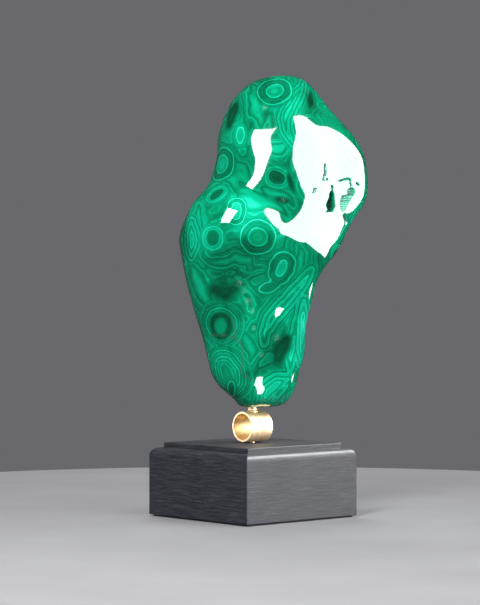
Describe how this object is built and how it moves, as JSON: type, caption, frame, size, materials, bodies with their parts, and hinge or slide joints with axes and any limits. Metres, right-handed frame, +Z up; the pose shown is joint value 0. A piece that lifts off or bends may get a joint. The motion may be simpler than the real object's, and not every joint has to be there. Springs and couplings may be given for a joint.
{
  "type": "malachite freeform on a stand",
  "caption": "Tall polished banded green stone with a waisted, two-lobed freeform outline, held upright by a small brass ring on a dark stepped square wooden block.",
  "frame": {"origin": "centre of the wooden block's felt underside, on the surface it stands on", "axes": "+Z up through the foot pin, the ring and the stone pin; X and Y along the block's sides, with the brass ring's bore along Y; the stone's broad face is turned towards the corner between +X and -Y"},
  "size_m": [0.1077, 0.1182, 0.3048],
  "materials": {
    "malachite": "mirror-polished, banded and ringed in light and dark green",
    "brass": "satin, lightly polished",
    "black_wood": "charcoal stain over fine grain, satin",
    "felt": "thin pressed felt"
  },
  "bodies": {
    "root": {"malachite_freeform": "malachite", "stone_pin": "brass", "brass_ring": "brass", "foot_pin": "brass", "wooden_block": "black_wood", "felt_pad": "felt"}
  },
  "joints": []
}
